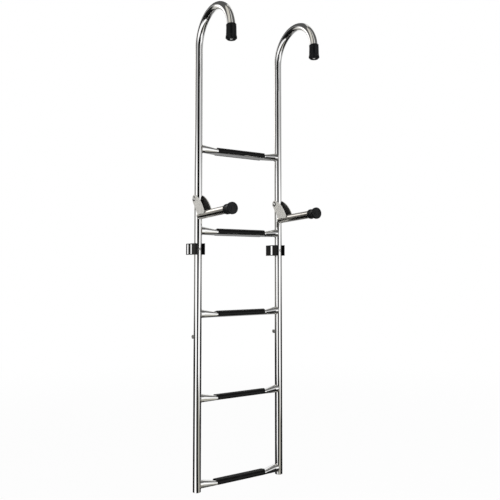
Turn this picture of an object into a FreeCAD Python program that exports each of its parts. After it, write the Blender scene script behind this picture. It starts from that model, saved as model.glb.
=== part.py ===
import FreeCAD, Part
import math
import os
from FreeCAD import Vector

# Folding dock ladder of bent stainless tube: two rails that end in hooks, five
# rungs with moulded treads, two stand-off arms and a lower section that folds up
# behind the upper one into two stow clips.
# Frame, in millimetres: X runs along the rungs, the hooks and the arms reach out
# towards -Y, +Z is up. The origin is the hooks' seat: midway between the rails,
# on the inner crown of the hook bends.

# Tube and rails
tube_od = 25.4
tube_wall = 1.5
rail_spacing = 315.0
hook_radius = 103.0
bend_above_rung = 328.8
foot_below_rung = 20.6

# Rungs, pressed from a round tube to a flat seat for the tread
upper_rungs = 3
lower_rungs = 2
rung_pitch = 266.7
pressed_height = 14.5
pressed_drop = 4.5
press_taper = 42.0
tread_length = 184.0
tread_thickness = 3.2
tread_rib_width = 2.2
tread_rib_height = 0.9
tread_rib_count = 5
tread_end_margin = 4.5
tread_corner_radius = 6.0
tread_wrap = 20.0
tread_tilt = 12.0

# Rubber cap and screw on each hook end
cap_length = 45.5
cap_collar_d = 31.2
cap_foot_d = 35.2
cap_foot_height = 10.0
cap_foot_taper = 0.5
cap_shoulder = 2.0
cap_rim_chamfer = 4.0
cap_end_wall = 6.0
cap_dish_depth = 3.0
cap_dish_rim = 3.5
cap_boss_d = 12.0
hook_tail = 27.2
screw_head_d = 8.0
screw_head_height = 2.6
screw_d = 4.0
screw_length = 16.0

# Fold hinge between the upper and the lower rails
joint_below_rung = 73.5
hinge_offset = 19.5
knuckle_radius = 6.2
collar_height = 6.2
tongue_width = 8.0
cheek_thickness = 4.0
hinge_pin_d = 6.0
pin_head_d = 8.4
pin_head_height = 1.2
plug_length = 22.0

# Stand-off arms
arm_above_rung = 47.6
arm_length = 205.0
arm_tilt = 2.2
pivot_above_arm = 54.7
ear_thickness = 2.5
ear_lobe_radius = 12.5
ear_reach = 68.0
ear_back = 24.0
ear_above_axis = 2.7
ear_bulge = 10.0
ear_corner_radius = 4.0
ear_crown_angle = 35.0
ear_front_angle = 110.0
pivot_bolt_d = 8.0
bolt_head_d = 13.0
bolt_head_height = 3.6
tip_length = 34.0
tip_sleeve_d = 29.8
tip_lip_d = 31.8
tip_lip_length = 4.0
tip_disc_d = 36.8
tip_disc_thickness = 8.0
tip_waist = 8.0
tip_end_wall = 9.0
tip_edge_radius = 3.0
tip_ring_width = 2.0
tip_ring_depth = 1.2
tip_ring_radii = (6.0, 11.0)

# Stow clips
clip_above_joint = 281.0
clip_height = 36.5
clip_wall = 3.0
clip_front = 15.0
clip_tail = 11.0
clip_grip = 2.3
clip_edge_radius = 1.2
slot_height = 31.5
slot_width = 13.3
front_slot_y = 16.4
rear_slot_y = 40.0
rivet_d = 4.0
rivet_head_d = 8.0
rivet_head_height = 2.2

# Foot plugs
foot_plug_length = 20.0
foot_dome = 3.0

# Clearances
seat_gap = 0.1
side_gap = 0.3
rest_gap = 0.3
joint_gap = 0.15
pin_gap = 0.05
overcut = 1.0

tube_r = tube_od / 2
bore_r = tube_r - tube_wall
rail_y = hook_radius
bend_z = tube_r - hook_radius
top_rung_z = bend_z - bend_above_rung
rung_heights = [top_rung_z - i * rung_pitch for i in range(upper_rungs + lower_rungs)]
joint_z = rung_heights[upper_rungs - 1] - joint_below_rung
foot_z = rung_heights[-1] - foot_below_rung
hinge_y = rail_y + hinge_offset
folded_y = rail_y + 2 * hinge_offset
arm_z = rung_heights[1] + arm_above_rung
pivot_z = arm_z + pivot_above_arm
clip_z = joint_z + clip_above_joint
side_x = {"left": -rail_spacing / 2, "right": rail_spacing / 2}
X_AXIS = Vector(1, 0, 0)
Y_AXIS = Vector(0, 1, 0)
Z_AXIS = Vector(0, 0, 1)


def tube_z(x, z0, z1):
    """Upright tube on a rail's axis."""
    base = Vector(x, rail_y, z0)
    outer = Part.makeCylinder(tube_r, z1 - z0, base, Z_AXIS)
    return outer.cut(Part.makeCylinder(bore_r, z1 - z0, base, Z_AXIS))


def bar_x(x0, x1, y, z, radius):
    """Round bar along X."""
    return Part.makeCylinder(radius, x1 - x0, Vector(x0, y, z), X_AXIS)


def bar_y(x, y0, y1, z, radius):
    """Round bar along Y."""
    return Part.makeCylinder(radius, y1 - y0, Vector(x, y0, z), Y_AXIS)


def upright_edges(shape):
    """The straight edges of a shape that run along Z."""
    return [e for e in shape.Edges if abs(e.tangentAt(e.FirstParameter).z) > 0.9]


def ring_face(centre, outer_r, inner_r):
    """Level ring: the section of an upright tube."""
    wires = [Part.Wire(Part.makeCircle(radius, centre, Z_AXIS)) for radius in (outer_r, inner_r)]
    return Part.makeFace(wires, "Part::FaceMakerBullseye")


def upper_rail(x):
    """Tube from the fold joint up, bent over into the hook, with its drilled holes."""
    bottom = Vector(x, rail_y, joint_z + joint_gap + collar_height + seat_gap)
    bend_start = Vector(x, rail_y, bend_z)
    bend_end = Vector(x, -rail_y, bend_z)
    path = Part.Wire([
        Part.makeLine(bottom, bend_start),
        Part.Arc(bend_start, Vector(x, 0, bend_z + hook_radius), bend_end).toShape(),
        Part.makeLine(bend_end, bend_end - Z_AXIS * hook_tail),
    ])
    tube = path.makePipe(ring_face(bottom, tube_r, bore_r))
    pivot_hole = bar_x(x - tube_od, x + tube_od, rail_y, pivot_z, pivot_bolt_d / 2 + pin_gap)
    rivet_hole = bar_y(x, rail_y - tube_od, rail_y + tube_od, clip_z, rivet_d / 2 + pin_gap)
    return tube.cut([pivot_hole, rivet_hole])


def lower_rail(x):
    """Straight tube from the foot up to the fold joint."""
    top = joint_z - joint_gap - collar_height - seat_gap
    return tube_z(x, foot_z, top)


def half_rounds(x, press, z, inset):
    """The front and back half rounds of a rung's section. press 0 is round, 1 fully flat.

    The girth stays that of the round tube: what the two half rounds lose in
    radius, the flats between them gain in length.
    """
    half_round = tube_r + (pressed_height / 2 - tube_r) * press
    flat = math.pi * (tube_r - half_round) / 2
    centre_z = z - pressed_drop * press
    radius = half_round - inset
    arcs = []
    for way in (-1, 1):
        y = rail_y + way * flat
        top = Vector(x, y, centre_z + radius)
        side = Vector(x, y + way * radius, centre_z)
        low = Vector(x, y, centre_z - radius)
        arcs.append(Part.Arc(top, side, low).toShape())
    return arcs


def flat_face(points):
    """Flat face through the points, or none where they all lie on one line."""
    corners = [p for i, p in enumerate(points) if (p - points[i - 1]).Length > 0.001]
    if len(corners) < 3:
        return []
    return [Part.Face(Part.makePolygon(corners + corners[:1]))]


def section_face(front, back):
    """Face across a rung between its two half rounds."""
    edges = [front, back]
    for i in (0, 1):
        ends = [arc.Vertexes[i].Point for arc in (front, back)]
        if (ends[0] - ends[1]).Length > 0.001:
            edges.append(Part.makeLine(*ends))
    return Part.Face(Part.Wire(Part.__sortEdges__(edges)))


def rung_stretch(start, end, z, inset):
    """Solid stretch of a rung between two stations along X, each (x, press)."""
    front_start, back_start = half_rounds(start[0], start[1], z, inset)
    if start[1] == end[1]:
        return section_face(front_start, back_start).extrude(X_AXIS * (end[0] - start[0]))
    front_end, back_end = half_rounds(end[0], end[1], z, inset)
    faces = [Part.makeRuledSurface(front_start, front_end), Part.makeRuledSurface(back_start, back_end)]
    for i in (0, 1):
        faces += flat_face([arc.Vertexes[i].Point for arc in (front_start, front_end, back_end, back_start)])
    faces += [section_face(front_start, back_start), section_face(front_end, back_end)]
    skin = Part.makeCompound(faces)
    skin.sewShape()
    return Part.Solid(skin.Shells[0])


def rung_form(z, inset):
    """Solid form of a rung: round at the rails, tapering to its pressed middle."""
    flat_end = tread_length / 2 + tread_end_margin
    round_end = flat_end + press_taper
    reach = rail_spacing / 2 - tube_r / 2
    form = rung_stretch((-flat_end, 1), (flat_end, 1), z, inset)
    tapers = [rung_stretch((side * flat_end, 1), (side * round_end, 0), z, inset) for side in (-1, 1)]
    ends = [bar_x(x, x + reach - round_end, rail_y, z, tube_r - inset) for x in (-reach, round_end)]
    return form.fuse(tapers + ends).removeSplitter()


def tilt_rung(shape, z):
    """Turns a rung's piece about the rung's axis, so that the tread's front edge rises."""
    return shape.rotated(Vector(0, rail_y, z), X_AXIS, -tread_tilt)


def rung_tube(z):
    """Pressed tube, coped at both ends to the rails it is welded to."""
    tube = tilt_rung(rung_form(z, 0).cut(rung_form(z, tube_wall)), z)
    for x in side_x.values():
        base = Vector(x, rail_y, z - tube_od)
        tube = tube.cut(Part.makeCylinder(tube_r + seat_gap, 2 * tube_od, base, Z_AXIS))
    return tube


def rung_tread(z):
    """Moulded cover over the pressed tube and round its edges, ribbed along its top."""
    half_round = pressed_height / 2
    flat = math.pi * (tube_r - half_round) / 2
    mid_z = z - pressed_drop
    radius = half_round + seat_gap + tread_thickness
    start = -tread_length / 2
    front, back = rail_y - flat, rail_y + flat
    turns = [math.radians(angle) for angle in (-tread_wrap, (90 - tread_wrap) / 2, 90)]
    rim = [(radius * math.cos(turn), mid_z + radius * math.sin(turn)) for turn in turns]
    front_rim = [Vector(start, front - out, height) for out, height in rim]
    back_rim = [Vector(start, back + out, height) for out, height in rim]
    edges = [
        Part.Arc(*front_rim).toShape(),
        Part.makeLine(front_rim[2], back_rim[2]),
        Part.Arc(*back_rim).toShape(),
        Part.makeLine(back_rim[0], front_rim[0]),
    ]
    cover = Part.Face(Part.Wire(Part.__sortEdges__(edges))).extrude(X_AXIS * tread_length)
    rib_pitch = 2 * flat / (tread_rib_count - 1)
    for i in range(tread_rib_count):
        y = front + i * rib_pitch - tread_rib_width / 2
        rib_foot = Vector(start, y, mid_z + radius - tread_rib_height)
        cover = cover.fuse(Part.makeBox(tread_length, tread_rib_width, 2 * tread_rib_height, rib_foot))
    plan_corner = Vector(start, front - radius, mid_z - 2 * radius)
    plan = Part.makeBox(tread_length, back - front + 2 * radius, 4 * radius, plan_corner)
    plan = plan.makeFillet(tread_corner_radius, upright_edges(plan))
    tube = rung_stretch((start - overcut, 1), (-start + overcut, 1), z, -seat_gap)
    return tilt_rung(cover.common(plan).cut(tube).removeSplitter(), z)


def hook_cap(x):
    """Rubber cap on the hook's end: flared foot, dished base, and a collar that follows the bend."""
    end_z = bend_z - hook_tail
    base_z = end_z - cap_end_wall
    foot_r = cap_foot_d / 2
    collar_r = cap_collar_d / 2
    socket_r = tube_r + seat_gap
    shank_r = screw_d / 2 + pin_gap
    boss_z = base_z + cap_dish_depth / 2
    dish_r = foot_r - cap_rim_chamfer - cap_dish_rim
    outline = [
        (shank_r, boss_z),
        (cap_boss_d / 2, boss_z),
        (cap_boss_d / 2, base_z + cap_dish_depth),
        (dish_r, base_z + cap_dish_depth),
        (dish_r + cap_dish_rim / 2, base_z),
        (foot_r - cap_rim_chamfer, base_z),
        (foot_r, base_z + cap_rim_chamfer),
        (foot_r - cap_foot_taper, base_z + cap_foot_height),
        (collar_r + cap_foot_taper, base_z + cap_foot_height + cap_shoulder),
        (collar_r, bend_z),
        (socket_r, bend_z),
        (socket_r, end_z),
        (shank_r, end_z),
    ]
    points = [Vector(x + r, -rail_y, z) for r, z in outline]
    body = Part.Face(Part.makePolygon(points + points[:1])).revolve(Vector(x, -rail_y, 0), Z_AXIS, 360)
    collar_turn = math.degrees((cap_length - cap_end_wall - hook_tail) / hook_radius)
    collar = ring_face(Vector(x, -rail_y, bend_z), collar_r, socket_r)
    return body.fuse(collar.revolve(Vector(x, 0, bend_z), -X_AXIS, collar_turn))


def dome(radius, height, centre, direction):
    """Low domed head: the part of a ball above a flat base."""
    ball_r = (radius * radius + height * height) / (2 * height)
    half_angle = math.asin(radius / ball_r) / 2
    shoulder = Vector(ball_r * math.sin(half_angle), 0, height - ball_r + ball_r * math.cos(half_angle))
    rim, foot, crown = Vector(radius, 0, 0), Vector(0, 0, 0), Vector(0, 0, height)
    edges = [Part.makeLine(foot, rim), Part.Arc(rim, shoulder, crown).toShape(), Part.makeLine(crown, foot)]
    head = Part.Face(Part.Wire(edges)).revolve(foot, Z_AXIS, 360)
    head.Placement = FreeCAD.Placement(centre, FreeCAD.Rotation(Z_AXIS, direction))
    return head


def hook_screw(x):
    """Screw up through the cap's end wall, with a domed head under it."""
    base_z = bend_z - hook_tail - cap_end_wall
    seat_z = base_z + cap_dish_depth / 2 - seat_gap
    seat = Vector(x, -rail_y, seat_z)
    head = dome(screw_head_d / 2, screw_head_height, seat, -Z_AXIS)
    return head.fuse(Part.makeCylinder(screw_d / 2, screw_length, seat, Z_AXIS))


def knuckle_plate(x0, width, up):
    """Hinge plate across X: a round eye about the pin and a neck back to the rail."""
    eye = bar_x(x0, x0 + width, hinge_y, joint_z, knuckle_radius)
    neck_y = rail_y + tube_r / 2
    low = joint_z + joint_gap if up else joint_z - joint_gap - collar_height
    neck = Part.makeBox(width, hinge_y - neck_y, collar_height, Vector(x0, neck_y, low))
    return eye.fuse(neck)


def hinge_fitting(x, up):
    """Plug and collar at a rail's end, with cheeks (upper) or a tongue (lower) behind."""
    way = 1 if up else -1
    collar_face = joint_z + way * joint_gap
    collar = Part.makeCylinder(tube_r, collar_height, Vector(x, rail_y, collar_face), Z_AXIS * way)
    plug_z = collar_face + way * collar_height
    plug = Part.makeCylinder(bore_r - seat_gap, plug_length, Vector(x, rail_y, plug_z), Z_AXIS * way)
    half_tongue = tongue_width / 2
    if up:
        inner = half_tongue + side_gap
        starts = [(x - inner - cheek_thickness, cheek_thickness), (x + inner, cheek_thickness)]
    else:
        starts = [(x - half_tongue, tongue_width)]
    plates = [knuckle_plate(x0, width, up) for x0, width in starts]
    hole = bar_x(x - tube_od, x + tube_od, hinge_y, joint_z, hinge_pin_d / 2 + pin_gap)
    return collar.fuse([plug] + plates).cut(hole).removeSplitter()


def hinge_pin(x):
    """Pin across the cheeks with a low head at each end."""
    half = tongue_width / 2 + side_gap + cheek_thickness + seat_gap
    pin = bar_x(x - half, x + half, hinge_y, joint_z, hinge_pin_d / 2)
    left_head = bar_x(x - half - pin_head_height, x - half, hinge_y, joint_z, pin_head_d / 2)
    right_head = bar_x(x + half, x + half + pin_head_height, hinge_y, joint_z, pin_head_d / 2)
    return pin.fuse([left_head, right_head])


def stow_clip(x):
    """Moulded clip: one socket round the rail, one behind it for the folded rail.

    The wall away from the rungs has two slots and the wall towards them has one.
    """
    inner = tube_r + clip_grip
    outer = inner + clip_wall
    low_z = clip_z - clip_height / 2
    front = rail_y - clip_front
    length = folded_y + clip_tail - front
    body = Part.makeBox(2 * outer, length, clip_height, Vector(x - outer, front, low_z))
    body = body.makeFillet(clip_edge_radius, upright_edges(body))
    web_y = rail_y + tube_r + seat_gap
    back_y = web_y + clip_wall
    front_corner = Vector(x - inner, front - overcut, low_z)
    front_slot = Part.makeBox(2 * inner, rail_y - front + overcut, clip_height, front_corner)
    front_seat = Part.makeCylinder(tube_r + seat_gap, clip_height, Vector(x, rail_y, low_z), Z_AXIS)
    rear_length = front + length - back_y + overcut
    rear_slot = Part.makeBox(2 * inner, rear_length, clip_height, Vector(x - inner, back_y, low_z))
    cuts = [front_slot, front_seat, rear_slot]
    outside = 1 if x > 0 else -1
    for y, way in ((front_slot_y, outside), (front_slot_y, -outside), (rear_slot_y, outside)):
        wall_x = x + way * (inner + outer) / 2
        corner = Vector(wall_x - clip_wall, rail_y + y - slot_width / 2, clip_z - slot_height / 2)
        cuts.append(Part.makeBox(2 * clip_wall, slot_width, slot_height, corner))
    cuts.append(bar_y(x, rail_y, back_y + overcut, clip_z, rivet_d / 2 + pin_gap))
    return body.cut(cuts)


def clip_rivet(x):
    """Domed rivet through the rail and the clip's web."""
    front = rail_y - tube_r - seat_gap
    back = rail_y + tube_r + clip_wall + 2 * seat_gap
    shank = bar_y(x, front, back, clip_z, rivet_d / 2)
    front_head = dome(rivet_head_d / 2, rivet_head_height, Vector(x, front, clip_z), -Y_AXIS)
    back_head = dome(rivet_head_d / 2, rivet_head_height, Vector(x, back, clip_z), Y_AXIS)
    return shank.fuse([front_head, back_head])


def foot_plug(x):
    """Plug in the rail's foot with a shallow domed end."""
    shank = Part.makeCylinder(bore_r - seat_gap, foot_plug_length, Vector(x, rail_y, foot_z), Z_AXIS)
    foot = dome(tube_r, foot_dome, Vector(x, rail_y, foot_z - seat_gap), -Z_AXIS)
    neck = Part.makeCylinder(bore_r - seat_gap, 2 * seat_gap, Vector(x, rail_y, foot_z - seat_gap), Z_AXIS)
    return shank.fuse([neck, foot])


def arm_direction():
    """Unit vector from the rail out along the arm."""
    tilt = math.radians(arm_tilt)
    return Vector(0, -math.cos(tilt), math.sin(tilt))


def arm_point(distance):
    """Point on the arm's axis, so far out in front of the rail's face."""
    return Vector(0, rail_y, arm_z) + arm_direction() * (tube_r + distance)


def standoff_arm(x):
    """Arm tube, cut upright where its butt rests on the rail."""
    out = arm_direction()
    start = arm_point(-tube_r) + Vector(x, 0, 0)
    length = tube_r + arm_length - tip_end_wall
    outer = Part.makeCylinder(tube_r, length, start, out)
    inner = Part.makeCylinder(bore_r, length, start, out)
    face_y = rail_y - tube_r - rest_gap
    block_corner = Vector(x - tube_od, face_y, arm_z - tube_od)
    rail_side = Part.makeBox(2 * tube_od, 2 * tube_od, 2 * tube_od, block_corner)
    return outer.cut([inner, rail_side])


def ear_rim_vector(angle):
    """From the pivot to the ear's round rim, so many degrees up from +Y."""
    turn = math.radians(angle)
    return Vector(0, math.cos(turn), math.sin(turn)) * ear_lobe_radius


def standoff_ear(x, side):
    """Fin-shaped ear beside the rail, from the pivot bolt down to the arm's side."""
    inner = tube_r + side_gap
    x0 = x + inner if side > 0 else x - inner - ear_thickness
    low = arm_z + ear_above_axis
    eye = Vector(x0, rail_y, pivot_z)
    back_low = Vector(x0, rail_y - ear_back, low)
    front_low = Vector(x0, rail_y - ear_reach, low)
    down = back_low - eye
    lean = math.atan2(down.z, down.y) + math.acos(ear_lobe_radius / down.Length)
    back_touch = eye + ear_rim_vector(math.degrees(lean))
    front_touch = eye + ear_rim_vector(ear_front_angle)
    crown = eye + ear_rim_vector(ear_crown_angle)
    chord = front_low - front_touch
    outward = Vector(0, chord.z, -chord.y).normalize()
    bow = front_touch + chord * 0.5 + outward * ear_bulge
    edges = [
        Part.Arc(back_touch, crown, front_touch).toShape(),
        Part.Arc(front_touch, bow, front_low).toShape(),
        Part.makeLine(front_low, back_low),
        Part.makeLine(back_low, back_touch),
    ]
    plate = Part.Face(Part.Wire(edges)).extrude(X_AXIS * ear_thickness)
    corner = [
        e for e in plate.Edges
        if len(e.Vertexes) == 2
        and all((v.Point - Vector(v.X, front_low.y, front_low.z)).Length < 0.01 for v in e.Vertexes)
    ]
    plate = plate.makeFillet(ear_corner_radius, corner)
    hole = bar_x(x0 - overcut, x0 + ear_thickness + overcut, rail_y, pivot_z, pivot_bolt_d / 2 + pin_gap)
    return plate.cut(hole)


def standoff_tip(x):
    """Rubber tip turned about the arm's axis: sleeve, waist and ringed disc."""
    start = arm_length - tip_length
    sleeve_r = tip_sleeve_d / 2
    disc_r = tip_disc_d / 2
    disc_back = tip_length - tip_disc_thickness
    lip_r = tip_lip_d / 2
    outline = [(0, 0), (0, lip_r), (tip_lip_length, lip_r), (tip_lip_length + lip_r - sleeve_r, sleeve_r)]
    outline += [(disc_back - tip_waist, sleeve_r), (disc_back, disc_r), (tip_length, disc_r), (tip_length, 0)]
    points = [Vector(0, radius, along) for along, radius in outline]
    body = Part.Face(Part.makePolygon(points + points[:1])).revolve(Vector(0, 0, 0), Z_AXIS, 360)
    circles = [e for e in body.Edges if e.Curve.TypeId == "Part::GeomCircle"]
    body = body.makeFillet(tip_edge_radius, [e for e in circles if e.Curve.Radius > disc_r - 0.01])
    bore = Part.makeCylinder(tube_r + seat_gap, tip_length - tip_end_wall + seat_gap)
    cuts = [bore]
    for radius in tip_ring_radii:
        ring_base = Vector(0, 0, tip_length - tip_ring_depth)
        ring = Part.makeCylinder(radius + tip_ring_width, tip_ring_depth, ring_base)
        cuts.append(ring.cut(Part.makeCylinder(radius, tip_ring_depth, ring_base)))
    body = body.cut(cuts)
    turn = FreeCAD.Rotation(Z_AXIS, arm_direction())
    body.Placement = FreeCAD.Placement(arm_point(start) + Vector(x, 0, 0), turn)
    return body


def pivot_bolt(x):
    """Bolt through the rail and both ears, with domed heads outside the ears."""
    half = tube_r + side_gap + ear_thickness + side_gap
    shank = bar_x(x - half, x + half, rail_y, pivot_z, pivot_bolt_d / 2)
    heads = [
        dome(bolt_head_d / 2, bolt_head_height, Vector(x - half, rail_y, pivot_z), -X_AXIS),
        dome(bolt_head_d / 2, bolt_head_height, Vector(x + half, rail_y, pivot_z), X_AXIS),
    ]
    return shank.fuse(heads)


def save(name, shape):
    """Write one sub-part as a STEP file named after its node."""
    shape.exportStep(os.path.join("parts", name + ".step"))


os.makedirs("parts", exist_ok=True)

for number, height in enumerate(rung_heights, start=1):
    save("rung_%d_tube" % number, rung_tube(height))
    save("rung_%d_tread" % number, rung_tread(height))

for name, x in side_x.items():
    save(name + "_upper_rail", upper_rail(x))
    save(name + "_hook_cap", hook_cap(x))
    save(name + "_hook_screw", hook_screw(x))
    save(name + "_stow_clip", stow_clip(x))
    save(name + "_clip_rivet", clip_rivet(x))
    save(name + "_hinge_cheeks", hinge_fitting(x, True))
    save(name + "_hinge_pin", hinge_pin(x))
    save(name + "_pivot_bolt", pivot_bolt(x))
    save(name + "_lower_rail", lower_rail(x))
    save(name + "_hinge_tongue", hinge_fitting(x, False))
    save(name + "_foot_plug", foot_plug(x))
    save(name + "_standoff_arm", standoff_arm(x))
    save(name + "_standoff_inner_ear", standoff_ear(x, -1 if x > 0 else 1))
    save(name + "_standoff_outer_ear", standoff_ear(x, 1 if x > 0 else -1))
    save(name + "_standoff_tip", standoff_tip(x))
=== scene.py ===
import math

import bmesh
import bpy
import numpy as np
from bpy.props import FloatProperty, FloatVectorProperty, PointerProperty
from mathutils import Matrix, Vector


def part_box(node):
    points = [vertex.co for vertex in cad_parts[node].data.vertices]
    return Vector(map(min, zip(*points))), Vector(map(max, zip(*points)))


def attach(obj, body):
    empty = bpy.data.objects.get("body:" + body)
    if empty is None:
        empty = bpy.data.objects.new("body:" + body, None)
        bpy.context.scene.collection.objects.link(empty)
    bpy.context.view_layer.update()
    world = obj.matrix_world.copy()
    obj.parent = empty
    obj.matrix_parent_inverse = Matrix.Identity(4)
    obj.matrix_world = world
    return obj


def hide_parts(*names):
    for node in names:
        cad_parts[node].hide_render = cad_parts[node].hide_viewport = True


bl_info = {
    "name": "Dock Ladder Dressing",
    "version": (1, 0, 0),
    "blender": (4, 5, 0),
    "location": "View3D > Sidebar > Dock Ladder",
    "description": "Finishes, weld beads, rubber and a studio for a folding hook-over dock ladder",
    "category": "Object",
}

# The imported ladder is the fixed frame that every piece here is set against.
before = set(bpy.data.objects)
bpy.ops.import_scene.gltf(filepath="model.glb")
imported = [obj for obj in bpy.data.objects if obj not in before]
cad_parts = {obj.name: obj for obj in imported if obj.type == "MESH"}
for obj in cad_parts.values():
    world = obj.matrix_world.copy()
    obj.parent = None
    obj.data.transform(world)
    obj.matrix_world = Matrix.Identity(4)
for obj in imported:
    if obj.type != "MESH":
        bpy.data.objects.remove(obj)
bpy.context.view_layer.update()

SIDES = ("left", "right")


def box_centre(node):
    """Middle of a node's box, as numbers."""
    low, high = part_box(node)
    return [(a + b) / 2 for a, b in zip(low, high)]


def box_size(node):
    """Lengths of a node's box along X, Y and Z."""
    low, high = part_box(node)
    return [b - a for a, b in zip(low, high)]


# The ladder's own measures, in metres.
TUBE_RADIUS = box_size("left_lower_rail")[0] / 2
RAIL_X = {side: box_centre(side + "_lower_rail")[0] for side in SIDES}
RAIL_Y = box_centre("left_lower_rail")[1]
FEET_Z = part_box("left_foot_plug")[0][2]
RUNG_BODY = {
    1: "upper_frame", 2: "upper_frame", 3: "upper_frame",
    4: "lower_section", 5: "lower_section",
}
RUNG_Z = {1: -0.4191, 2: -0.6858, 3: -0.9525, 4: -1.2192, 5: -1.4859}
TREAD_TILT = math.radians(12.0)
TREAD_TOP = 0.00605  # over the rung's axis, before the tilt
ARM_Z = -0.6382
ARM_TILT = math.radians(2.2)
ARM_LENGTH = 0.205
TIP_LENGTH = 0.034
EAR_OUTSIDE = TUBE_RADIUS + 0.0028  # from the rail's axis


# The light tent's panels, laid over white in this order. Angles in degrees.
PANELS = (
    # bearing, half width, lowest, highest, softness, colour
    (0, 180, 34, 91, 4, (0.09, 0.09, 0.09)),
    (-44, 30, 36, 80, 4, (0.62, 0.60, 0.54)),
    (30, 9, 36, 84, 3, (0.85, 0.84, 0.80)),
    (78, 14, 36, 84, 3, (0.80, 0.79, 0.76)),
    (150, 14, 36, 84, 3, (0.70, 0.69, 0.66)),
    (0, 180, -91, -75, 4, (0.12, 0.12, 0.11)),
    (-52, 36, 17, 34, 4, (0.48, 0.48, 0.48)),
    (42, 24, 18, 34, 4, (0.80, 0.80, 0.80)),
    (84, 20, 15, 91, 4, (0.10, 0.10, 0.10)),
    (40, 18, -91, -20, 3, (0.42, 0.41, 0.36)),
    (72, 14, -91, -30, 3, (0.36, 0.35, 0.31)),
    (120, 42, 8, 34, 5, (0.40, 0.40, 0.40)),
    (120, 42, -91, 8, 5, (0.20, 0.20, 0.20)),
    (118, 46, -91, -5, 4, (0.015, 0.015, 0.015)),
    (-119, 46, -91, 34, 4, (0.015, 0.015, 0.015)),
    (-142, 29, -19, 19, 4, (0.56, 0.55, 0.52)),
    (-115, 53, -91, -9, 4, (0.004, 0.004, 0.004)),
    (180, 24, -91, -27, 4, (0.03, 0.03, 0.03)),
    (180, 24, -27, -6, 3, (0.25, 0.25, 0.25)),
    (180, 15, -6, 26, 3, (0.9, 0.9, 0.9)),
    (1, 21, -70, 34, 3, (0.006, 0.006, 0.006)),
    (1, 27, 2, 34, 3, (0.004, 0.004, 0.004)),
    (1, 24, -70, -15, 3, (0.004, 0.004, 0.004)),
    (-129, 15, 17, 32, 3, (1.9, 1.85, 1.8)),
)


class Signal:
    """One output of a shader node. Arithmetic on it adds Math nodes to its sheet."""

    def __init__(self, sheet, socket):
        self.sheet = sheet
        self.socket = socket

    def _math(self, operation, first, second):
        return self.sheet.add("ShaderNodeMath", {"operation": operation}, {0: first, 1: second})

    def __add__(self, other):
        return self._math("ADD", self, other)

    def __sub__(self, other):
        return self._math("SUBTRACT", self, other)

    def __rsub__(self, other):
        return self._math("SUBTRACT", other, self)

    def __mul__(self, other):
        return self._math("MULTIPLY", self, other)

    def larger(self, other):
        """The larger of two signals."""
        return self._math("MAXIMUM", self, other)

    def smaller(self, other):
        """The smaller of two signals."""
        return self._math("MINIMUM", self, other)

    def above(self, edge, softness):
        """0 below the edge, 1 above it, with a soft step between."""
        settings = {"interpolation_type": "SMOOTHSTEP"}
        inputs = {0: self, 1: edge - softness, 2: edge + softness}
        return self.sheet.add("ShaderNodeMapRange", settings, inputs)

    __radd__ = __add__
    __rmul__ = __mul__


class Sheet:
    """A node tree that is filled in by calls: add() for any node, signals for the sums."""

    def __init__(self, tree):
        self.tree = tree
        self.tree.nodes.clear()

    def add(self, kind, settings=None, inputs=None, output=0):
        """Adds a node: its settings first, then the values or links of its sockets."""
        node = self.tree.nodes.new(kind)
        for name, value in (settings or {}).items():
            setattr(node, name, value)
        for key, value in (inputs or {}).items():
            if isinstance(value, Signal):
                self.tree.links.new(value.socket, node.inputs[key])
            else:
                node.inputs[key].default_value = value
        return Signal(self, node.outputs[output]) if len(node.outputs) else None

    def place(self, scale=(1, 1, 1), turn=(0, 0, 0)):
        """Object coordinates in metres, stretched and turned."""
        here = self.add("ShaderNodeTexCoord", output="Object")
        return self.add("ShaderNodeMapping", {}, {"Vector": here, "Rotation": turn, "Scale": scale})

    def noise(self, scale, stretch=(1, 1, 1), detail=3.0, roughness=0.55, turn=(0, 0, 0)):
        """Fractal noise with so many cells to the metre, stretched along an axis."""
        return self.add("ShaderNodeTexNoise", {}, {
            "Vector": self.place(stretch, turn), "Scale": scale, "Detail": detail, "Roughness": roughness,
        })

    def grains(self, scale, output="Distance"):
        """Cell pattern: distance to the nearest of many scattered points."""
        inputs = {"Vector": self.place(), "Scale": scale}
        return self.add("ShaderNodeTexVoronoi", {}, inputs, output)

    def blend(self, factor, first, second):
        """Colour between two colours."""
        return self.add("ShaderNodeMix", {"data_type": "RGBA"}, {0: factor, 6: first, 7: second}, 2)

    def bump(self, height, distance, strength, under=None):
        """Normal tilted by a height, over another bump where one is given."""
        inputs = {"Height": height, "Distance": distance, "Strength": strength}
        if under is not None:
            inputs["Normal"] = under
        return self.add("ShaderNodeBump", {}, inputs)

    def openness(self, distance):
        """1 on open faces, towards 0 in pockets and narrow gaps."""
        return self.add("ShaderNodeAmbientOcclusion", {"samples": 8}, {"Distance": distance}, "AO")

    def edge_wear(self, radius, strength):
        """Near 1 on convex edges and 0 on open faces, from the bevelled normal."""
        rounded = self.add("ShaderNodeBevel", {"samples": 6}, {"Radius": radius})
        plain = self.add("ShaderNodeNewGeometry", output="Normal")
        inputs = {0: rounded, 1: plain}
        apart = self.add("ShaderNodeVectorMath", {"operation": "DISTANCE"}, inputs, "Value")
        return (apart * strength).smaller(1.0)

    def finish(self, **inputs):
        """Principled surface and its output. Underscores in the names stand for spaces."""
        named = {name.replace("_", " "): value for name, value in inputs.items()}
        surface = self.add("ShaderNodeBsdfPrincipled", {}, named)
        self.add("ShaderNodeOutputMaterial", {}, {"Surface": surface})


def new_finish(name):
    """An empty material and its sheet."""
    material = bpy.data.materials.new(name)
    material.use_nodes = True
    return material, Sheet(material.node_tree)


def colour(values):
    """Three channels as an opaque colour."""
    return (values[0], values[1], values[2], 1.0)


def shade(values, factor, lift=0.0):
    """Opaque colour made darker or lighter, with a small lift to every channel."""
    return colour([channel * factor + lift for channel in values])


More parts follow.
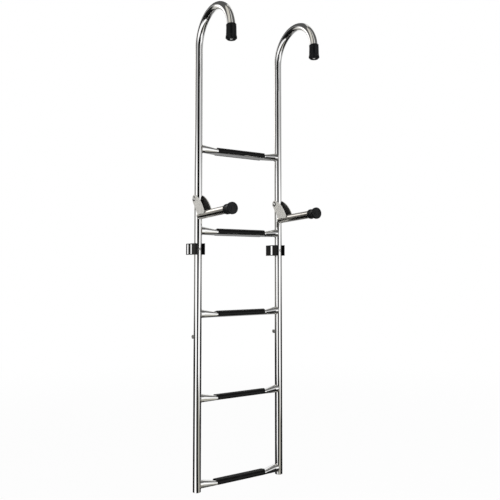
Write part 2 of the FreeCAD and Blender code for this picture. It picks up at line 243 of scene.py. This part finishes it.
def along_axis(axis, long_scale, cross_scale):
    """Stretch that draws a pattern out along one axis."""
    return tuple(long_scale if name == axis else cross_scale for name in "XYZ")


def polished_tube(name, axis, looks):
    """Bright drawn tube: polishing lines along its axis, faint smears and a slight ripple."""
    material, sheet = new_finish(name)
    lines = sheet.noise(1.0, along_axis(axis, 14.0, 2600.0), 4.0, 0.6)
    smears = sheet.noise(26.0, along_axis(axis, 0.35, 1.0), 3.0)
    specks = sheet.noise(900.0, detail=2.0)
    bright, dull = colour(looks.steel_bright), colour(looks.steel_dull)
    tone = sheet.blend(smears.above(0.56, 0.12) * 0.5 + lines.above(0.62, 0.1) * 0.35, bright, dull)
    rough = looks.steel_roughness + smears.above(0.52, 0.16) * 0.035 + lines.above(0.6, 0.1) * 0.05
    ripple = sheet.bump(smears, 0.0004, 0.06)
    scratches = sheet.bump(lines * 0.7 + specks * 0.3, 0.00002, 0.35, ripple)
    sheet.finish(Base_Color=tone, Metallic=1.0, Roughness=rough, Normal=scratches)
    return material


def satin_tube(name, axis, looks):
    """Tube left with its sanding lines: streaks along its axis that vary in tone and gloss."""
    material, sheet = new_finish(name)
    streaks = sheet.noise(1.0, along_axis(axis, 9.0, 1100.0), 5.0, 0.65)
    bands = sheet.noise(1.0, along_axis(axis, 3.0, 260.0), 2.0)
    specks = sheet.noise(1400.0, detail=2.0)
    light, deep = colour(looks.arm_light), colour(looks.arm_deep)
    tone = sheet.blend(streaks.above(0.5, 0.16) * 0.6 + bands.above(0.5, 0.1) * 0.4, light, deep)
    rough = looks.arm_roughness + streaks.above(0.5, 0.2) * 0.12 - bands.above(0.55, 0.1) * 0.05
    sanded = sheet.bump(streaks * 0.8 + specks * 0.2, 0.00005, 0.25)
    sheet.finish(Base_Color=tone, Metallic=1.0, Roughness=rough, Normal=sanded)
    return material


def satin_plate(name, looks):
    """Stamped plate: tumbled satin grain, a warm cast, painted shade darkening its pockets and edges
    rubbed bright.
    """
    material, sheet = new_finish(name)
    grain = sheet.noise(1500.0, detail=4.0, roughness=0.7)
    mottle = sheet.noise(120.0, detail=3.0)
    edge = sheet.edge_wear(0.0009, 2.2)
    # Painted shade: the base colour goes nearly black where ambient occlusion finds the plate close to
    # the rail or the other ear.
    painted_pocket_shade = 1.0 - sheet.openness(0.06).above(0.62, 0.22)
    face, rubbed = colour(looks.plate_face), colour(looks.plate_edge)
    tone = sheet.blend(mottle.above(0.5, 0.25) * 0.3, face, shade(looks.plate_face, 0.86))
    tone = sheet.blend(painted_pocket_shade, tone, shade(looks.plate_face, 0.05))
    tone = sheet.blend(edge, tone, rubbed)
    rough = looks.plate_roughness + grain.above(0.5, 0.2) * 0.12 - edge * 0.12
    pitted = sheet.bump(grain, 0.00003, 0.1)
    sheet.finish(Base_Color=tone, Metallic=0.45, Roughness=rough, Normal=pitted)
    return material


def weld_metal(name, looks):
    """Bead of a weld: bright crowns, straw and grey heat tints in its hollows."""
    material, sheet = new_finish(name)
    scale = sheet.noise(650.0, detail=3.0)
    heat = sheet.noise(90.0, detail=2.0)
    bright = shade(looks.steel_dull, 0.6)
    straw, grey = colour((0.42, 0.36, 0.28)), colour((0.22, 0.22, 0.24))
    tone = sheet.blend(heat.above(0.5, 0.15) * 0.6, bright, straw)
    tone = sheet.blend(scale.above(0.6, 0.1) * 0.4, tone, grey)
    rough = 0.28 + scale.above(0.5, 0.2) * 0.2
    scaly = sheet.bump(scale, 0.00005, 0.5)
    sheet.finish(Base_Color=tone, Metallic=1.0, Roughness=rough, Normal=scaly)
    return material


def moulded_rubber(name, tint, looks, grain_scale, gloss):
    """Soft black moulding: fine grain, dusty hollows and edges that catch the light."""
    material, sheet = new_finish(name)
    grain = sheet.noise(grain_scale, detail=3.0, roughness=0.65)
    cells = sheet.grains(grain_scale * 0.6)
    cloud = sheet.noise(45.0, detail=4.0)
    edge = sheet.edge_wear(0.0012, 1.6)
    dusty, worn = shade(tint, 1.9, 0.002), shade(tint, 2.6, 0.008)
    tone = sheet.blend(cloud.above(0.55, 0.2) * 0.6, colour(tint), dusty)
    tone = sheet.blend(edge * 0.7, tone, worn)
    rough = looks.rubber_roughness + cloud.above(0.5, 0.2) * 0.12 - edge * 0.1
    dimpled = sheet.bump(grain * 0.7 + cells * 0.3, 0.00006, 0.45)
    sheet.finish(
        Base_Color=tone, Roughness=rough, Normal=dimpled,
        Specular_IOR_Level=gloss, Coat_Weight=gloss, Coat_Roughness=0.14)
    return material


def gloss_moulding(name, tint, looks):
    """Glossy black moulding: faint flow marks, orange peel and rubbed edges."""
    material, sheet = new_finish(name)
    flow = sheet.noise(60.0, (1.0, 1.0, 0.3), 4.0)
    peel = sheet.noise(420.0, detail=1.5)
    edge = sheet.edge_wear(0.0008, 1.8)
    tone = sheet.blend(flow.above(0.55, 0.15) * 0.5, colour(tint), shade(tint, 2.2))
    tone = sheet.blend(edge * 0.5, tone, shade(tint, 3.0, 0.01))
    rough = looks.plastic_roughness + flow.above(0.5, 0.2) * 0.08
    rolled = sheet.bump(peel, 0.00005, 0.3)
    sheet.finish(Base_Color=tone, Roughness=rough, Normal=rolled, Specular_IOR_Level=0.2)
    return material


def dress_node(node, material):
    """Gives a carried-over node its finish."""
    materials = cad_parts[node].data.materials
    materials.clear()
    materials.append(material)


def surface_mesh(name, points, closed_rows, closed_columns, material):
    """Mesh of a grid of points, shape (rows, columns, 3), with quads between neighbours.

    A closed direction joins its last line of points to its first. Points that fall together at a
    pole are made one, and the faces of a piece that goes round look outward.
    """
    rows, columns = points.shape[:2]
    index = np.arange(rows * columns).reshape(rows, columns)
    if closed_rows:
        index = np.concatenate([index, index[:1]], axis=0)
    if closed_columns:
        index = np.concatenate([index, index[:, :1]], axis=1)
    corners = (index[:-1, :-1], index[:-1, 1:], index[1:, 1:], index[1:, :-1])
    mesh = bpy.data.meshes.new(name)
    mesh.from_pydata(points.reshape(-1, 3), [], np.stack(corners, axis=-1).reshape(-1, 4))
    build = bmesh.new()
    build.from_mesh(mesh)
    bmesh.ops.remove_doubles(build, verts=build.verts, dist=1e-7)
    if closed_columns:
        bmesh.ops.recalc_face_normals(build, faces=build.faces)
    build.to_mesh(mesh)
    build.free()
    mesh.materials.append(material)
    mesh.shade_smooth()
    obj = bpy.data.objects.new(name, mesh)
    bpy.context.scene.collection.objects.link(obj)
    return obj


def swept(path, radius, across, away, sides):
    """Tube of varying radius along a path.

    A point is path + radius * (cos v * across + sin v * away), with v once round.
    """
    turn = np.linspace(0, 2 * np.pi, sides, endpoint=False)[None, :, None]
    ring = np.cos(turn) * across[:, None, :] + np.sin(turn) * away[:, None, :]
    return path[:, None, :] + radius[:, None, None] * ring


def turned(profile, centre, axis, side, sides):
    """Surface of revolution of a profile of (radius, distance along the axis) points.

    A point is centre + distance * axis + radius * (cos v * side + sin v * axis x side).
    """
    axis, side = np.array(axis, float), np.array(side, float)
    third = np.cross(axis, side)
    turn = np.linspace(0, 2 * np.pi, sides, endpoint=False)[None, :, None]
    ring = np.cos(turn) * side + np.sin(turn) * third
    radius, along = profile[:, 0][:, None, None], profile[:, 1][:, None, None]
    return np.array(centre, float) + along * axis + radius * ring


def bead_radius(width, step):
    """Radius of a weld's bead, which swells and sinks with the welder's steps: w * (1 + 0.16 |sin a|)."""
    return width * (1 + 0.16 * np.abs(np.sin(step)))


def on_rung(number, x, y, z):
    """Points given from a rung's axis, turned with the treads' tilt t and put in their place.

    y becomes y cos t + z sin t, and z becomes z cos t - y sin t.
    """
    return np.stack([
        x,
        RAIL_Y + y * math.cos(TREAD_TILT) + z * math.sin(TREAD_TILT),
        RUNG_Z[number] - y * math.sin(TREAD_TILT) + z * math.cos(TREAD_TILT),
    ], axis=-1)


def rung_weld(name, number, side, material):
    """Bead round a rung's end, where it meets the rail.

    Both tubes are one radius r. At the angle a round the rung, the seam lies max(r |sin a|, r / 2)
    short of the rail's axis. The bead has 36 swells round it.
    """
    bead, stand_off = 0.00115, 0.0004
    angle = np.linspace(0, 2 * np.pi, 432, endpoint=False)
    inward = -1 if side == "right" else 1
    short = np.maximum(np.abs(np.sin(angle)) * TUBE_RADIUS, TUBE_RADIUS / 2) + stand_off
    path = np.stack([
        RAIL_X[side] + inward * short,
        RAIL_Y - TUBE_RADIUS * np.cos(angle),
        RUNG_Z[number] + TUBE_RADIUS * np.sin(angle),
    ], axis=-1)
    away = np.stack([np.zeros_like(angle), -np.cos(angle), np.sin(angle)], axis=-1)
    across = np.zeros_like(away)
    across[:, 0] = -inward
    points = swept(path, bead_radius(bead, 18 * angle), across, away, 10)
    return surface_mesh(name, points, True, True, material)


def ear_weld(name, side, way, material):
    """Bead along an ear's lower edge, where it sits on the arm's side.

    It runs straight along Y. Its width is w * (1 - (2u - 1)^8)^0.5 for u from 0 to 1 along it, so
    both ends are rounded and closed.
    """
    bead, start, length = 0.00125, 0.027, 0.035
    beside_arm, over_axis = TUBE_RADIUS + 0.0009, 0.0024
    share = np.linspace(0, 1, 220)
    y = RAIL_Y - start - share * length
    path = np.stack([
        np.full_like(y, RAIL_X[side] + way * beside_arm),
        y,
        np.full_like(y, ARM_Z + over_axis),
    ], axis=-1)
    across = np.tile([1.0, 0.0, 0.0], (len(share), 1))
    away = np.tile([0.0, 0.0, 1.0], (len(share), 1))
    ends = np.sqrt(np.clip(1 - (2 * share - 1) ** 8, 0, 1))
    points = swept(path, bead_radius(bead * ends, 40 * share), across, away, 10)
    return surface_mesh(name, points, False, True, material)


def tread_grip(name, number, material):
    """Fine grip on a tread's top: lengthwise ridges between the ribs and cross notches on them.

    The height over the tread's seat is 0.22 mm * cos(2 pi y / 1.07 mm) between the ribs, and on
    a rib it is the rib's height less 0.35 mm in each notch, one every 4 mm. At the border the
    surface dips under the rubber.
    """
    half_length, half_width = 0.0865, 0.0092
    rib_pitch, rib_half_width, rib_slope, rib_height = 0.004281, 0.00118, 0.00016, 0.00098
    notch_pitch, notch_depth = 0.004, 0.00035
    ridge_pitch, ridge_height = 0.00107, 0.00022
    border, border_depth = 0.0006, 0.0008
    x, y = np.meshgrid(
        np.linspace(-half_length, half_length, 700), np.linspace(-half_width, half_width, 70))
    to_rib = np.abs((y + rib_pitch / 2) % rib_pitch - rib_pitch / 2)
    on_rib = np.clip((rib_half_width - to_rib) / rib_slope, 0, 1)
    notch = np.clip(np.cos(2 * np.pi * x / notch_pitch) * 4 - 2.6, 0, 1)
    ridges = ridge_height * np.cos(2 * np.pi * y / ridge_pitch)
    height = ridges * (1 - on_rib) + on_rib * (rib_height - notch_depth * notch)
    inside = np.clip((half_length - np.abs(x)) / border, 0, 1)
    inside = inside * np.clip((half_width - np.abs(y)) / border, 0, 1)
    lift = TREAD_TOP - border_depth + (height + border_depth) * inside
    return surface_mesh(name, on_rung(number, x, y, lift), False, False, material)


def tread_lip(name, number, way, material):
    """Rolled lip under a tread's front or back edge, hugging the pressed tube.

    Its section is a crescent about the tube's half round: from 14 to 50 degrees below level the
    inside stays at the tube's radius and the outside tapers, r + t * (1 - ((a - 14) / 36)^3)^0.5.
    Both ends draw in to the section's middle over 2 mm, which closes them.
    """
    half_length, end_length = 0.092, 0.002
    half_flat, drop = 0.008561, 0.0045
    seat_radius, thickness = 0.00732, 0.00325
    share = np.linspace(0, 1, 14)
    angle = np.radians(14 + 36 * share)
    outer = seat_radius + thickness * np.sqrt(np.clip(1 - share ** 3, 0, 1))
    turn = np.concatenate([angle, angle[-2:0:-1]])
    radius = np.concatenate([outer, np.full(len(angle) - 2, seat_radius)])
    y = way * (half_flat + radius * np.cos(turn))
    z = -drop - radius * np.sin(turn)
    x = np.linspace(-half_length, half_length, 60)
    draw = np.clip((half_length - np.abs(x)) / end_length, 0, 1)[:, None] ** 0.5
    y = y.mean() + draw * (y - y.mean())
    z = z.mean() + draw * (z - z.mean())
    points = on_rung(number, np.repeat(x[:, None], len(turn), axis=1), y, z)
    return surface_mesh(name, points, False, True, material)


def recessed_screw(name, side, material):
    """Domed screw with a crossed recess, turned about the hook's axis. It replaces the plain one.

    The head's profile is a ball's cap, and the shank ends in a point. The recess takes away
    1.2 mm * clip((0.65 mm - min(|x|, |y|)) / 0.3 mm) * clip((2.4 mm - max(|x|, |y|)) / 0.5 mm),
    with both clipped to 0 and 1.
    """
    low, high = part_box(side + "_hook_screw")
    head_radius, head_height, head_rows = (high[0] - low[0]) / 2, 0.0026, 60
    shank_radius, shank_end, point_end = 0.0017, 0.0140, 0.0150
    share = np.linspace(0, 1, head_rows)
    drop = 1 - np.sqrt(np.clip(1 - (share * 0.98) ** 2, 0, 1))
    profile = np.concatenate([
        np.stack([head_radius * share, head_height * drop / drop[-1]], axis=-1),
        [(head_radius * 0.5, head_height), (shank_radius, head_height)],
        [(shank_radius, shank_end), (0.0, point_end)],
    ])
    centre = ((low[0] + high[0]) / 2, (low[1] + high[1]) / 2, low[2])
    points = turned(profile, centre, (0, 0, 1), (1, 0, 0), 160)
    head = points[:head_rows]
    x, y = np.abs(head[..., 0] - centre[0]), np.abs(head[..., 1] - centre[1])
    arm = np.clip((0.00065 - np.minimum(x, y)) / 0.0003, 0, 1)
    reach = np.clip((0.0024 - np.maximum(x, y)) / 0.0005, 0, 1)
    head[..., 2] += 0.0012 * arm * reach
    return surface_mesh(name, points, False, True, material)


def bolt_washer(name, side, way, material):
    """Washer between an ear and its bolt's head: a flat ring whose outer edge is a half round."""
    centre = (RAIL_X[side], RAIL_Y, box_centre(side + "_pivot_bolt")[2])
    inner, outer, thick = 0.0052, 0.0080, 0.0009
    bend, half = np.linspace(-np.pi / 2, np.pi / 2, 13), thick / 2
    rim = np.stack([outer - half + half * np.cos(bend), half + half * np.sin(bend)], axis=-1)
    profile = np.concatenate([[(inner, 0.0)], rim, [(inner, thick)]])
    profile[:, 1] += EAR_OUTSIDE
    points = turned(profile, centre, (way, 0, 0), (0, 0, 1), 96)
    return surface_mesh(name, points, True, True, material)


def tip_rings(name, side, material):
    """Moulded rings round a stand-off tip's sleeve.

    The radius is s + 0.3 mm * max(cos(2 pi d / 4.2 mm), -0.4) at the distance d along the sleeve
    from the first ring. Both ends dip into the sleeve and are joined there.
    """
    sleeve, dip = 0.0149, 0.0006
    first_ring, ring_pitch, ring_height = 0.0093, 0.0042, 0.0003
    along = np.linspace(first_ring - ring_pitch / 2, first_ring + ring_pitch * 1.5, 90)
    wave = np.maximum(np.cos(2 * np.pi * (along - first_ring) / ring_pitch), -0.4)
    radius = sleeve + ring_height * wave
    radius[[0, -1]] = sleeve - dip
    out = (0.0, -math.cos(ARM_TILT), math.sin(ARM_TILT))
    start = TUBE_RADIUS + ARM_LENGTH - TIP_LENGTH
    centre = (RAIL_X[side], RAIL_Y + out[1] * start, ARM_Z + out[2] * start)
    points = turned(np.stack([radius, along], axis=-1), centre, out, (1, 0, 0), 128)
    return surface_mesh(name, points, True, True, material)


def soft_step(value, edge, softness):
    """0 where the value is under the edge, 1 over it, and a straight slope between."""
    return np.clip((value - edge) / (2 * softness) + 0.5, 0, 1)


def tent_glow(bearing, elevation, panels):
    """Colour of the light tent in each direction: white, with its panels laid over one another.

    A panel is (bearing, half width, lowest, highest elevation, softness, colour), in degrees, with
    the bearing 0 from the ladder to the camera and rising to the camera's right.
    """
    glow = np.full(bearing.shape + (3,), 1.1)
    for middle, half_width, low, high, softness, light in panels:
        apart = np.abs((bearing - middle + 180) % 360 - 180)
        cover = soft_step(elevation, low, softness) * soft_step(high - elevation, 0, softness)
        if half_width < 180:
            cover = cover * soft_step(half_width - apart, 0, softness)
        glow += cover[..., None] * (np.array(light) - glow)
    return glow


class LadderLooks(bpy.types.PropertyGroup):
    """Colours and roughness of the ladder's finishes."""

    steel_bright: FloatVectorProperty(
        name="Steel, bright", description="Polished tube", subtype="COLOR", size=3, min=0, max=1,
        default=(0.97, 0.97, 0.965))
    steel_dull: FloatVectorProperty(
        name="Steel, smeared", description="Polished tube under a faint smear", subtype="COLOR",
        size=3, min=0, max=1, default=(0.87, 0.865, 0.85))
    steel_roughness: FloatProperty(
        name="Steel roughness", description="Polished tube", min=0, max=1, default=0.05)
    arm_light: FloatVectorProperty(
        name="Arm, light", description="Sanded arm tube", subtype="COLOR", size=3, min=0, max=1,
        default=(0.93, 0.915, 0.88))
    arm_deep: FloatVectorProperty(
        name="Arm, streaks", description="Deeper streaks of the sanded arm tube", subtype="COLOR",
        size=3, min=0, max=1, default=(0.60, 0.58, 0.54))
    arm_roughness: FloatProperty(
        name="Arm roughness", description="Sanded arm tube", min=0, max=1, default=0.14)
    plate_face: FloatVectorProperty(
        name="Plate", description="Stamped ears", subtype="COLOR", size=3, min=0, max=1,
        default=(0.86, 0.845, 0.80))
    plate_edge: FloatVectorProperty(
        name="Plate edge", description="Rubbed edges of the stamped ears", subtype="COLOR",
        size=3, min=0, max=1, default=(0.92, 0.91, 0.87))
    plate_roughness: FloatProperty(
        name="Plate roughness", description="Stamped ears", min=0, max=1, default=0.48)
    rubber: FloatVectorProperty(
        name="Cap rubber", description="Hook caps and stand-off tips", subtype="COLOR",
        size=3, min=0, max=1, default=(0.0035, 0.0042, 0.0048))
    tread: FloatVectorProperty(
        name="Tread rubber", description="Rung treads", subtype="COLOR", size=3, min=0, max=1,
        default=(0.003, 0.003, 0.003))
    rubber_roughness: FloatProperty(
        name="Rubber roughness", description="All rubber", min=0, max=1, default=0.34)
    plastic: FloatVectorProperty(
        name="Clip plastic", description="Stow clips", subtype="COLOR", size=3, min=0, max=1,
        default=(0.004, 0.004, 0.004))
    plastic_roughness: FloatProperty(
        name="Plastic roughness", description="Stow clips", min=0, max=1, default=0.2)


class LadderStudio(bpy.types.PropertyGroup):
    """Camera, backdrop, light tent and lamps."""

    camera_place: FloatVectorProperty(
        name="Camera place", description="Where the camera stands", subtype="TRANSLATION",
        unit="LENGTH", size=3, default=(-1.07086, -1.63141, -0.80218))
    camera_bearing: FloatProperty(
        name="Camera bearing", description="Turn from +Y towards +X", subtype="ANGLE",
        default=math.radians(32.66))
    camera_pitch: FloatProperty(
        name="Camera pitch", description="Tilt above level", subtype="ANGLE",
        default=math.radians(3.47))
    camera_lens: FloatProperty(
        name="Lens", description="Focal length on a 36 mm frame, in millimetres", default=43.754)
    camera_shift: FloatProperty(
        name="Shift", description="Upward shift of the frame, as a share of its width", default=-0.04)
    backdrop_light: FloatProperty(
        name="Backdrop light", min=0, max=1, default=0.55,
        description="Share of the white backdrop's light that falls on matt surfaces")
    floor_gap: FloatProperty(
        name="Floor gap", description="Height of the hung ladder's feet over the floor",
        subtype="DISTANCE", unit="LENGTH", default=0.12)
    tent_radius: FloatProperty(
        name="Tent radius", description="Distance of the light tent's wall",
        subtype="DISTANCE", unit="LENGTH", default=3.2)
    tent_top: FloatProperty(
        name="Tent top", description="Height of the tent's ceiling over the camera",
        subtype="DISTANCE", unit="LENGTH", default=2.6)
    lamp_power: FloatProperty(
        name="Lamp power", description="Power of the key lamp", subtype="POWER", unit="POWER",
        default=60.0)


class DockLadderSettings(bpy.types.PropertyGroup):
    """Everything about the ladder that a user would change."""

    looks: PointerProperty(type=LadderLooks)
    studio: PointerProperty(type=LadderStudio)


class DOCKLADDER_OT_dress_steel(bpy.types.Operator):
    """Polish the tubes and fittings and give the stamped ears their satin face"""

    bl_idname = "dockladder.dress_steel"
    bl_label = "Dress the Steel"

    def execute(self, context):
        looks = context.scene.dock_ladder.looks
        upright = polished_tube("polished_upright_tube", "Z", looks)
        level = polished_tube("polished_rung_tube", "X", looks)
        outward = polished_tube("polished_rivet", "Y", looks)
        arm = satin_tube("satin_arm_tube", "Y", looks)
        plate = satin_plate("satin_stamped_plate", looks)
        for side in SIDES:
            for piece in ("upper_rail", "lower_rail", "hinge_cheeks", "hinge_tongue", "hook_screw"):
                dress_node(side + "_" + piece, upright)
            for piece in ("pivot_bolt", "hinge_pin"):
                dress_node(side + "_" + piece, level)
            dress_node(side + "_clip_rivet", outward)
            dress_node(side + "_standoff_arm", arm)
            for piece in ("inner_ear", "outer_ear"):
                dress_node(side + "_standoff_" + piece, plate)
        for number in RUNG_BODY:
            dress_node("rung_%d_tube" % number, level)
        return {"FINISHED"}


class DOCKLADDER_OT_dress_mouldings(bpy.types.Operator):
    """Give the caps, tips, treads, clips and plugs their rubber and plastic"""

    bl_idname = "dockladder.dress_mouldings"
    bl_label = "Dress the Mouldings"

    def execute(self, context):
        looks = context.scene.dock_ladder.looks
        rubber = moulded_rubber("moulded_cap_rubber", looks.rubber, looks, 1400.0, 0.16)
        tread = moulded_rubber("moulded_tread_rubber", looks.tread, looks, 2200.0, 0.12)
        plug = moulded_rubber("moulded_plug", looks.rubber, looks, 900.0, 0.3)
        clip = gloss_moulding("moulded_clip_plastic", looks.plastic, looks)
        for side in SIDES:
            dress_node(side + "_hook_cap", rubber)
            dress_node(side + "_standoff_tip", rubber)
            dress_node(side + "_foot_plug", plug)
            dress_node(side + "_stow_clip", clip)
            rings = tip_rings("tip_rings_" + side, side, rubber)
            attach(rings, side + "_standoff")
        for number, body in RUNG_BODY.items():
            dress_node("rung_%d_tread" % number, tread)
            pieces = [tread_grip("tread_grip_%d" % number, number, tread)]
            for place, way in (("front", -1), ("back", 1)):
                pieces.append(tread_lip("tread_lip_%d_%s" % (number, place), number, way, tread))
            for piece in pieces:
                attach(piece, body)
        return {"FINISHED"}


class DOCKLADDER_OT_add_fixings(bpy.types.Operator):
    """Add the weld beads, the bolts' washers and the caps' recessed screws"""

    bl_idname = "dockladder.add_fixings"
    bl_label = "Add Welds and Fixings"

    def execute(self, context):
        looks = context.scene.dock_ladder.looks
        weld = weld_metal("weld_bead_metal", looks)
        screw_metal = polished_tube("polished_screw", "X", looks)
        nylon = gloss_moulding("moulded_washer", looks.plastic, looks)
        for side in SIDES:
            for number, body in RUNG_BODY.items():
                bead = rung_weld("weld_rung_%d_%s" % (number, side), number, side, weld)
                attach(bead, body)
            for place, way in (("a", -1), ("b", 1)):
                seam = ear_weld("weld_ear_%s_%s" % (side, place), side, way, weld)
                washer = bolt_washer("bolt_washer_%s_%s" % (side, place), side, way, nylon)
                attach(seam, side + "_standoff")
                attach(washer, side + "_standoff")
            screw = recessed_screw("recessed_screw_" + side, side, screw_metal)
            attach(screw, "upper_frame")
            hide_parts(side + "_hook_screw")
        return {"FINISHED"}


class DOCKLADDER_OT_studio(bpy.types.Operator):
    """Build the pale floor, the white backdrop, the light tent, the lamps and the camera"""

    bl_idname = "dockladder.studio"
    bl_label = "Build the Studio"

    def execute(self, context):
        studio = context.scene.dock_ladder.studio
        self.backdrop(context.scene, studio)
        self.floor(studio)
        self.tent(studio)
        self.lamps(studio)
        self.camera(context.scene, studio)
        return {"FINISHED"}

    @staticmethod
    def mirror_rays(sheet):
        """1 for rays from the camera or a mirror or glass, 0 for the rest."""
        rays = [sheet.add("ShaderNodeLightPath", output=name)
                for name in ("Is Camera Ray", "Is Glossy Ray", "Is Transmission Ray")]
        return rays[0].larger(rays[1]).larger(rays[2])

    def backdrop(self, scene, studio):
        """White to the camera and to mirrors, a softer light to matt surfaces."""
        world = bpy.data.worlds.new("white_backdrop")
        world.use_nodes = True
        scene.world = world
        sheet = Sheet(world.node_tree)
        strength = studio.backdrop_light + self.mirror_rays(sheet) * (1 - studio.backdrop_light)
        light = sheet.add("ShaderNodeBackground", {}, {"Color": (1, 1, 1, 1), "Strength": strength})
        sheet.add("ShaderNodeOutputWorld", {}, {"Surface": light})

    def floor(self, studio):
        """Plain pale floor that keeps a faint shadow near the ladder and is white further out."""
        material, sheet = new_finish("pale_floor")
        here = sheet.add("ShaderNodeTexCoord", output="Object")
        distance = sheet.add("ShaderNodeVectorMath", {"operation": "LENGTH"}, {0: here}, "Value")
        share = 0.94 + distance.above(3.0, 1.0) * 0.06
        matt = sheet.add("ShaderNodeBsdfDiffuse", {}, {"Color": (0.9, 0.9, 0.9, 1)})
        white = sheet.add("ShaderNodeEmission", {}, {"Color": (1, 1, 1, 1), "Strength": 1.0})
        whiteness = self.mirror_rays(sheet) * share
        mixed = sheet.add("ShaderNodeMixShader", {}, {0: whiteness, 1: matt, 2: white})
        sheet.add("ShaderNodeOutputMaterial", {}, {"Surface": mixed})
        edges = np.array([-14.0, 14.0])
        across, along = np.meshgrid(edges, edges)
        points = np.stack([across, along, np.full_like(across, FEET_Z - studio.floor_gap)], axis=-1)
        surface_mesh("studio_floor", points, False, False, material)

    def tent(self, studio):
        """Light tent for the bright metal to mirror: a floor disc, a round wall and a ceiling.

        Its profile goes out along the floor, up the wall and back in along the ceiling. A point is
        centre + radius * (sin b, cos b) for the bearing b. Its colour comes from tent_glow().
        """
        material, sheet = new_finish("light_tent")
        glow = sheet.add("ShaderNodeAttribute", {"attribute_name": "glow"}, output="Color")
        sheet.finish(
            Base_Color=(0, 0, 0, 1), Specular_IOR_Level=0.0, Emission_Color=glow, Emission_Strength=1.0)
        over_floor, hole = 0.004, 0.02
        floor_rows, wall_rows, top_rows = 90, 70, 40
        low = FEET_Z - studio.floor_gap + over_floor
        high = studio.camera_place[2] + studio.tent_top
        wall = studio.tent_radius
        outward, inward = np.linspace(hole, wall, floor_rows), np.linspace(wall, hole, top_rows)
        rise = np.linspace(low, high, wall_rows + 2)[1:-1]
        out = np.concatenate([outward, np.full(wall_rows, wall), inward])
        height = np.concatenate([np.full(floor_rows, low), rise, np.full(top_rows, high)])
        bearing = np.arange(0.0, 360.0, 2.0)
        turn = np.radians(bearing + 180.0) + studio.camera_bearing
        x = out[:, None] * np.sin(turn)[None, :]
        y = RAIL_Y + out[:, None] * np.cos(turn)[None, :]
        points = np.stack([x, y, np.repeat(height[:, None], len(bearing), axis=1)], axis=-1)
        obj = surface_mesh("light_tent", points, False, True, material)
        elevation = np.degrees(np.arctan2(height - studio.camera_place[2], out))
        shades = tent_glow(*np.broadcast_arrays(-bearing[None, :], elevation[:, None]), PANELS)
        rgba = np.concatenate([shades, np.ones(shades.shape[:2] + (1,))], axis=-1)
        layer = obj.data.attributes.new("glow", "FLOAT_COLOR", "POINT")
        layer.data.foreach_set("color", rgba.astype(np.float32).ravel())
        obj.visible_camera = False
        obj.visible_diffuse = False
        obj.visible_shadow = False

    def lamps(self, studio):
        """Two large soft lamps, high on both sides of the camera."""
        target = Vector((0.0, RAIL_Y, -0.75))
        rig = (
            # name, place, size, share of the power
            ("key", (-2.6, -2.4, 1.6), 1.8, 1.0),
            ("fill", (2.4, -2.2, 0.8), 2.2, 0.6),
        )
        for name, place, size, share in rig:
            data = bpy.data.lights.new("lamp_" + name, "AREA")
            data.size = size
            data.energy = studio.lamp_power * share
            lamp = bpy.data.objects.new("lamp_" + name, data)
            lamp.location = place
            lamp.rotation_euler = (target - lamp.location).to_track_quat("-Z", "Y").to_euler()
            lamp.visible_glossy = False
            bpy.context.scene.collection.objects.link(lamp)

    def camera(self, scene, studio):
        """Camera that looks slightly up, with its frame shifted down a little."""
        data = bpy.data.cameras.new("camera")
        data.sensor_width = 36.0
        data.lens = studio.camera_lens
        data.shift_y = studio.camera_shift
        camera = bpy.data.objects.new("camera", data)
        camera.location = studio.camera_place
        camera.rotation_euler = (math.pi / 2 + studio.camera_pitch, 0.0, -studio.camera_bearing)
        scene.collection.objects.link(camera)
        scene.camera = camera
        scene.view_settings.view_transform = "Standard"


class DOCKLADDER_PT_panel(bpy.types.Panel):
    """Sidebar panel with the steps in order and their settings"""

    bl_idname = "DOCKLADDER_PT_panel"
    bl_label = "Dock Ladder"
    bl_space_type = "VIEW_3D"
    bl_region_type = "UI"
    bl_category = "Dock Ladder"

    def draw(self, context):
        settings = context.scene.dock_ladder
        for operator in OPERATORS:
            self.layout.operator(operator.bl_idname)
        for group in (settings.looks, settings.studio):
            box = self.layout.box()
            for name in group.__annotations__:
                box.prop(group, name)


OPERATORS = (
    DOCKLADDER_OT_dress_steel,
    DOCKLADDER_OT_dress_mouldings,
    DOCKLADDER_OT_add_fixings,
    DOCKLADDER_OT_studio,
)
CLASSES = (LadderLooks, LadderStudio, DockLadderSettings) + OPERATORS + (DOCKLADDER_PT_panel,)


def register():
    """Registers every class and hangs the settings on the scene."""
    for cls in CLASSES:
        bpy.utils.register_class(cls)
    bpy.types.Scene.dock_ladder = PointerProperty(type=DockLadderSettings)


def unregister():
    """Takes the settings and the classes away again."""
    del bpy.types.Scene.dock_ladder
    for cls in reversed(CLASSES):
        bpy.utils.unregister_class(cls)


def main():
    """Runs every step in order."""
    register()
    bpy.ops.dockladder.dress_steel()
    bpy.ops.dockladder.dress_mouldings()
    bpy.ops.dockladder.add_fixings()
    bpy.ops.dockladder.studio()


if __name__ == "__main__":
    main()
